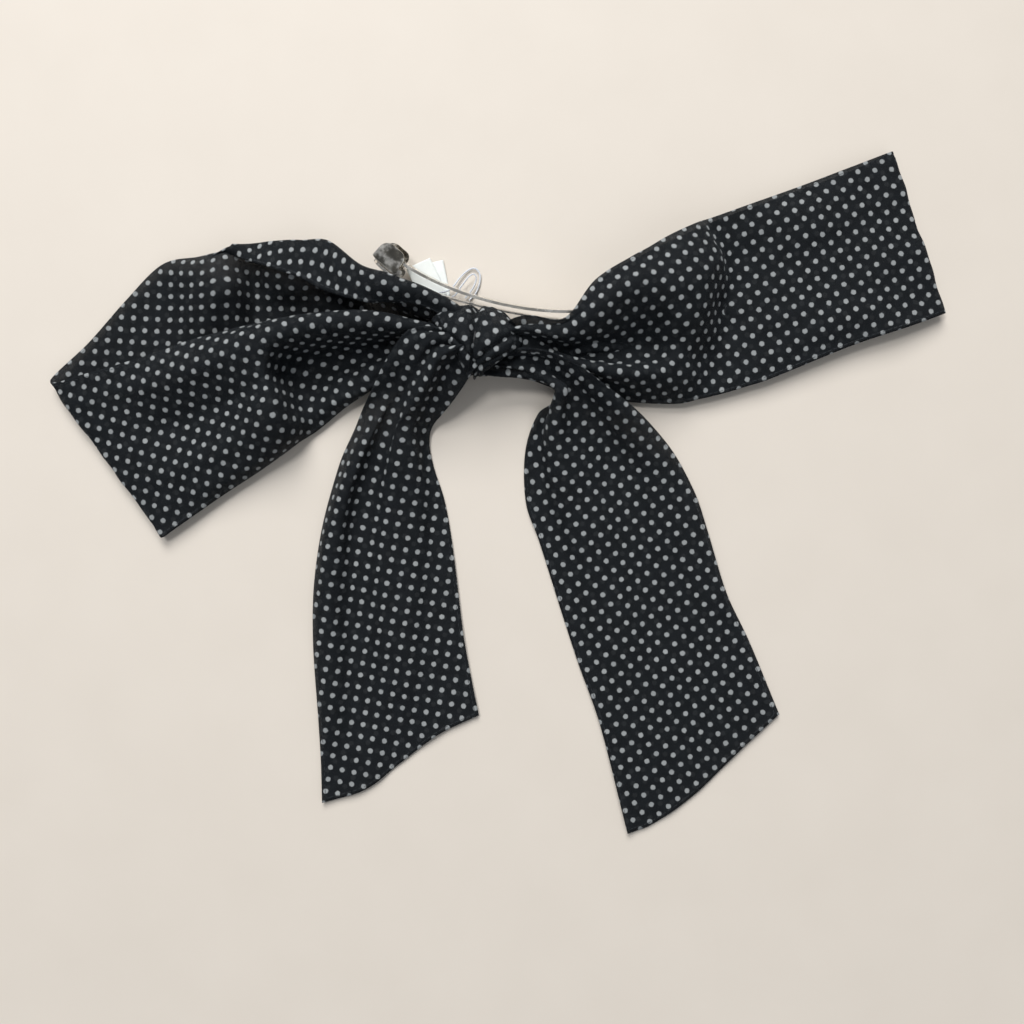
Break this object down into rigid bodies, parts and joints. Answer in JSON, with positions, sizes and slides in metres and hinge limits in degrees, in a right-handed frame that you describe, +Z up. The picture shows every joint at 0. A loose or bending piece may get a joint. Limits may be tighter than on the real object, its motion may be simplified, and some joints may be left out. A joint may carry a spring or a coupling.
{
  "type": "hair bow",
  "caption": "Black chiffon hair bow with light dots, two loops and slanted tails, on an arched French barrette with a blank swing label.",
  "frame": {"origin": "centre of the bow's footprint, on the table the bow lies on", "axes": "+X towards the right loop as the bow is looked at, +Y towards the clip side, away from the tails, +Z up out of the bow's face"},
  "size_m": [0.2665, 0.2033, 0.0217],
  "materials": {
    "chiffon": "semi-sheer crepe chiffon, light grey dots",
    "sewing_thread": "spun polyester",
    "nickel": "bright nickel plate",
    "steel": "satin spring steel",
    "label_paper": "smooth coated paper, blank",
    "label_thread": "translucent fine thread"
  },
  "bodies": {
    "bow": {"left_loop": "chiffon", "right_loop": "chiffon", "left_tail": "chiffon", "right_tail": "chiffon", "knot_wrap": "chiffon", "tie_thread_left": "sewing_thread", "tie_thread_right": "sewing_thread", "base_plate": "nickel", "hinge_pin": "steel", "tension_bar": "steel", "bar_rivet": "steel", "catch_body": "steel", "catch_rivet": "steel", "label": "label_paper", "hang_thread_outer": "label_thread", "hang_thread_inner": "label_thread"},
    "clasp": {"clasp_arm": "nickel"},
    "tab_upper": {"finger_tab_upper": "nickel"},
    "tab_lower": {"finger_tab_lower": "nickel"}
  },
  "joints": [
    {"name": "clasp_hinge", "type": "hinge", "parent": "bow", "child": "clasp", "pos_m": [0.03432, 0.05264, 0.00942], "axis": [0.0626, 0.2511, -0.9659], "range_deg": [0, 70]},
    {"name": "tab_upper_press", "type": "hinge", "parent": "bow", "child": "tab_upper", "pos_m": [-0.0328, 0.06547, 0.01317], "axis": [-0.7597, 0.6397, 0.1171], "range_deg": [0, 6], "stiffness_Nm_per_rad": 0.15},
    {"name": "tab_lower_press", "type": "hinge", "parent": "bow", "child": "tab_lower", "pos_m": [-0.03222, 0.06778, 0.00428], "axis": [0.7597, -0.6397, -0.1171], "range_deg": [0, 6], "stiffness_Nm_per_rad": 0.15}
  ]
}
